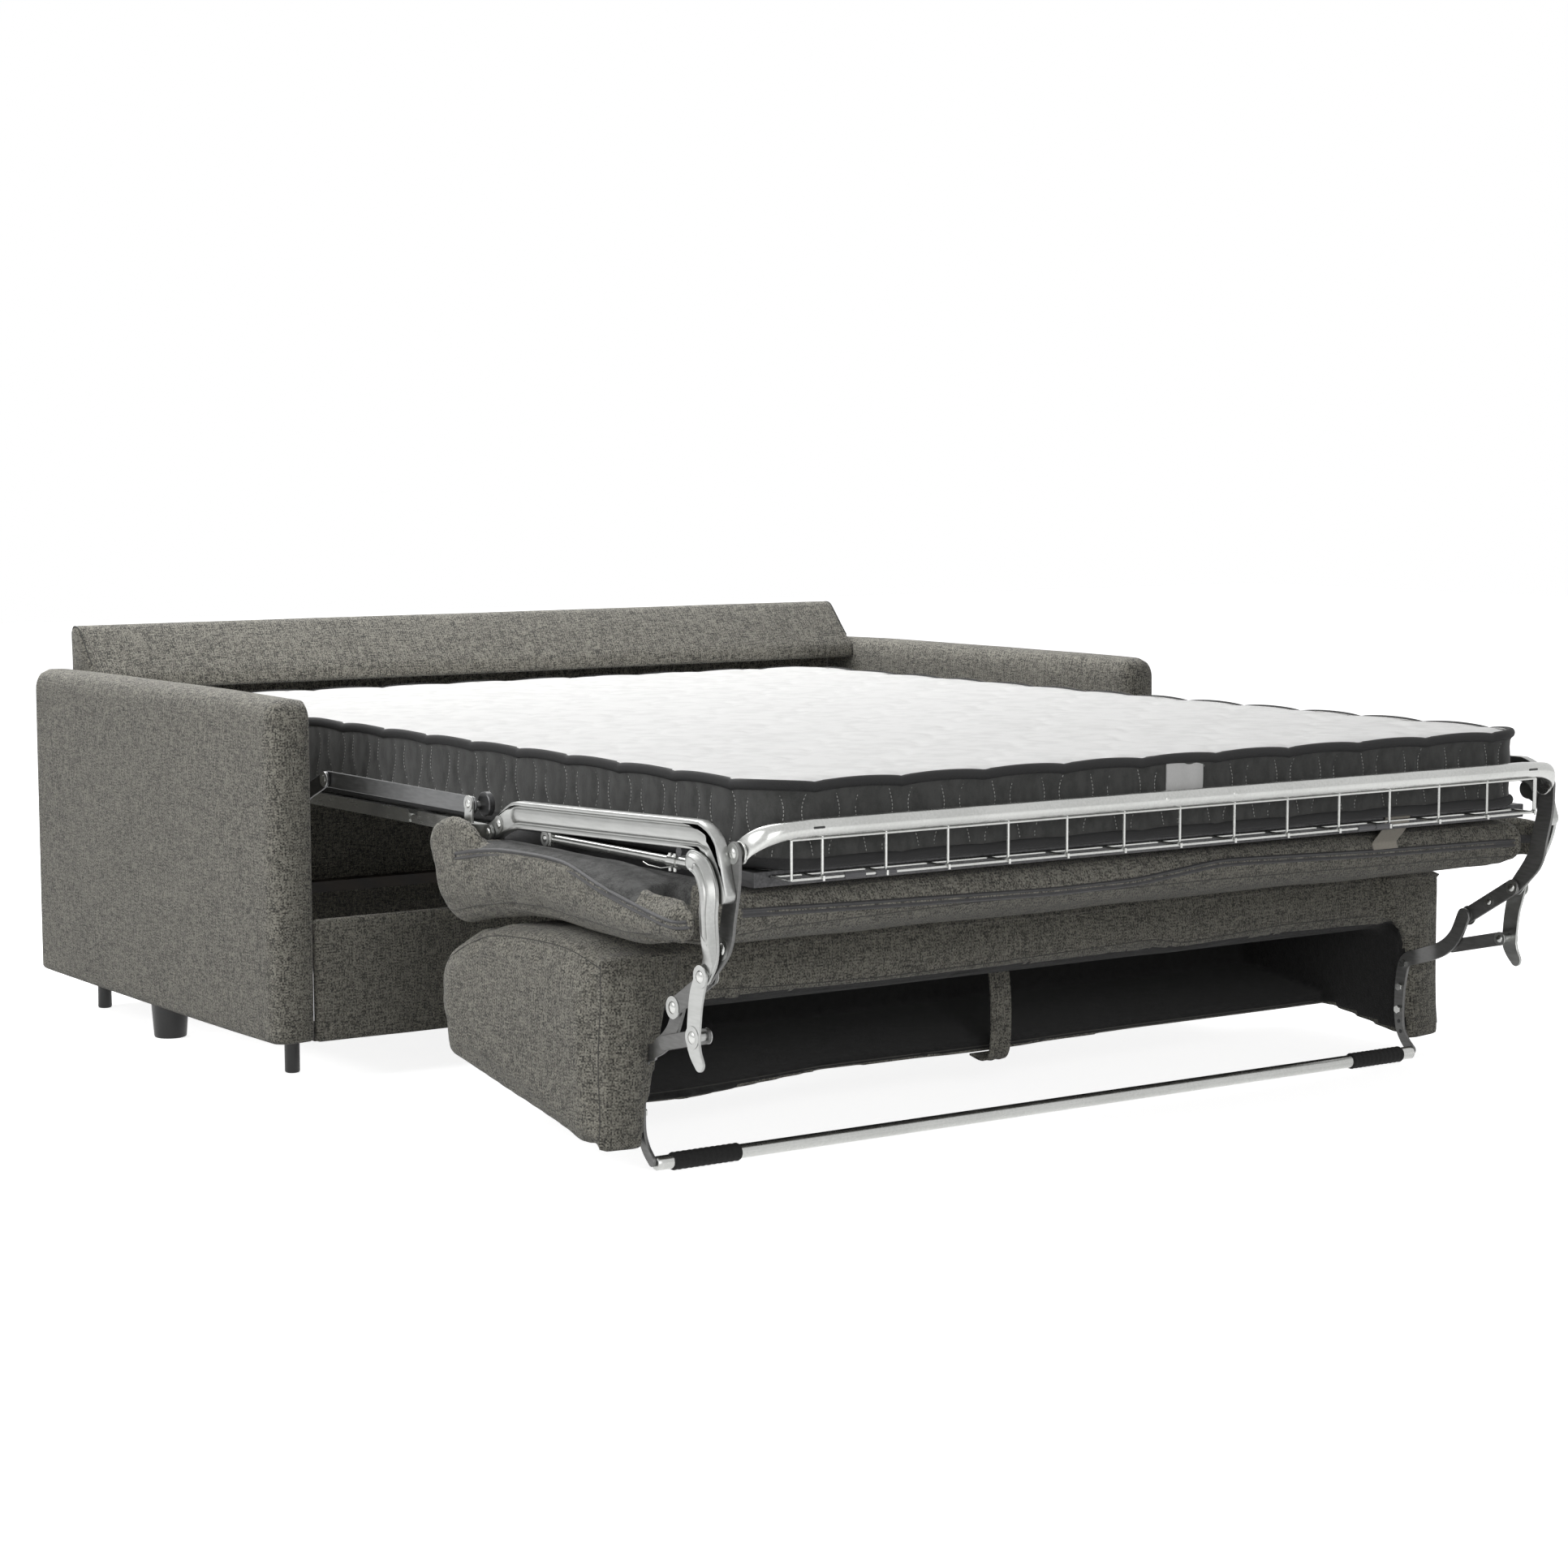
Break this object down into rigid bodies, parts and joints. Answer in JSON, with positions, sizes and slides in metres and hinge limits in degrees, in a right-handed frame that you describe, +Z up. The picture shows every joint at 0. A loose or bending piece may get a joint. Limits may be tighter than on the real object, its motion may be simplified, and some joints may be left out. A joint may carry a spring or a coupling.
{
  "type": "sleeper sofa with pull out bed",
  "caption": "Low sleeper sofa with slim arms, shown with its folding steel bed frame, foam mattress, seat cushion and backrest swung out to the front.",
  "frame": {"origin": "middle of the bounding box at floor level, with the bed pulled out", "axes": "+X runs across the sofa, +Y towards the sofa's rear face, +Z up; the bed reaches out along -Y"},
  "size_m": [1.77, 2.0603, 0.672],
  "materials": {
    "melange_fabric": "matt woven melange",
    "grey_lining": "matt felted lining",
    "white_knit": "soft knitted ticking",
    "satin_steel": "satin zinc plated",
    "bright_steel": "bright plated",
    "dark_steel": "semi-matt dark coating",
    "black_plastic": "satin moulded",
    "black_rubber": "matt",
    "plain_wood": "bare sawn timber"
  },
  "bodies": {
    "base": {"arm_left": "melange_fabric", "arm_right": "melange_fabric", "back_pad": "melange_fabric", "rear_board": "melange_fabric", "front_panel": "melange_fabric", "base_rail_left": "plain_wood", "base_rail_right": "plain_wood", "rear_rail": "plain_wood", "front_leg_left": "black_plastic", "rear_leg_left": "black_plastic", "middle_leg_left": "black_plastic", "front_leg_right": "black_plastic", "rear_leg_right": "black_plastic", "middle_leg_right": "black_plastic", "side_plate_left": "dark_steel", "side_plate_right": "dark_steel"},
    "front_levers": {"front_lever_left": "dark_steel", "front_lever_right": "dark_steel"},
    "rear_levers": {"rear_lever_left": "dark_steel", "rear_lever_right": "dark_steel"},
    "head_section": {"upper_frame": "satin_steel", "mattress_upper": "white_knit", "mattress_upper_fold": "white_knit"},
    "headrest": {"headrest_frame": "satin_steel", "mattress_head": "white_knit"},
    "middle_section": {"middle_frame": "satin_steel", "mattress_middle": "white_knit", "mattress_foot_fold": "white_knit"},
    "foot_section": {"foot_frame": "satin_steel", "foot_rail": "bright_steel", "front_basket": "bright_steel", "seat_cushion": "melange_fabric", "seat_panel": "grey_lining", "mattress_foot": "white_knit", "side_arm_left": "satin_steel", "side_arm_right": "satin_steel", "crank_link_left": "satin_steel", "crank_link_right": "satin_steel", "tie_tube_left": "bright_steel", "tie_tube_right": "bright_steel", "drop_plate_left": "satin_steel", "drop_plate_right": "satin_steel"},
    "backrest_links": {"backrest_link_left": "dark_steel", "backrest_link_right": "dark_steel"},
    "backrest": {"backrest_cover": "melange_fabric", "backrest_bracket_left": "dark_steel", "backrest_bracket_right": "dark_steel", "floor_tube": "bright_steel", "tube_sleeve_left": "black_rubber", "tube_sleeve_right": "black_rubber"},
    "control_levers": {"control_lever_left": "satin_steel", "control_lever_right": "satin_steel"},
    "flat_bars": {"flat_bar_left": "satin_steel", "flat_bar_right": "satin_steel"}
  },
  "joints": [
    {"name": "bed_fold", "type": "hinge", "parent": "base", "child": "front_levers", "pos_m": [0, 0.27392, 0.1597], "axis": [1, 0, 0], "range_deg": [-84.8, 0]},
    {"name": "head_section_pivot", "type": "hinge", "parent": "front_levers", "child": "head_section", "pos_m": [0, 0.36975, 0.423], "axis": [1, 0, 0], "range_deg": [0, 84.8]},
    {"name": "headrest_hinge", "type": "hinge", "parent": "head_section", "child": "headrest", "pos_m": [0, 0.74975, 0.42], "axis": [1, 0, 0], "range_deg": [0, 108], "deforming": ["mattress_head"]},
    {"name": "middle_hinge", "type": "hinge", "parent": "head_section", "child": "middle_section", "pos_m": [0, -0.04525, 0.42], "axis": [1, 0, 0], "range_deg": [-90, 0], "deforming": ["mattress_upper_fold"]},
    {"name": "foot_hinge", "type": "hinge", "parent": "middle_section", "child": "foot_section", "pos_m": [0, -0.31025, 0.42], "axis": [1, 0, 0], "range_deg": [-90, 0], "deforming": ["mattress_foot_fold"]},
    {"name": "backrest_link_pivot", "type": "hinge", "parent": "foot_section", "child": "backrest_links", "pos_m": [0, -0.91945, 0.2964], "axis": [1, 0, 0], "range_deg": [0, 105.8]},
    {"name": "backrest_pivot", "type": "hinge", "parent": "backrest_links", "child": "backrest", "pos_m": [0, -0.82725, 0.242], "axis": [1, 0, 0], "range_deg": [-195.8, 0]},
    {"name": "rear_lever_pivot", "type": "hinge", "parent": "base", "child": "rear_levers", "pos_m": [0, 0.59392, 0.1597], "axis": [1, 0, 0], "range_deg": [-84.8, 0]},
    {"name": "control_lever_pivot", "type": "hinge", "parent": "base", "child": "control_levers", "pos_m": [0, 0.23775, 0.2383], "axis": [1, 0, 0], "range_deg": [-151.5, 0]},
    {"name": "flat_bar_pivot", "type": "hinge", "parent": "control_levers", "child": "flat_bars", "pos_m": [0, 0.10875, 0.472], "axis": [1, 0, 0], "range_deg": [0, 119]}
  ],
  "couplings": [
    {"joint": "head_section_pivot", "follows": "bed_fold", "ratio": -1},
    {"joint": "headrest_hinge", "follows": "bed_fold", "ratio": -1.2736},
    {"joint": "middle_hinge", "follows": "bed_fold", "ratio": 1.0613},
    {"joint": "foot_hinge", "follows": "bed_fold", "ratio": 1.0613},
    {"joint": "backrest_link_pivot", "follows": "bed_fold", "ratio": -1.2476},
    {"joint": "backrest_pivot", "follows": "bed_fold", "ratio": 2.309},
    {"joint": "rear_lever_pivot", "follows": "bed_fold", "ratio": 1},
    {"joint": "control_lever_pivot", "follows": "bed_fold", "ratio": 1.7866},
    {"joint": "flat_bar_pivot", "follows": "bed_fold", "ratio": -1.4033}
  ]
}
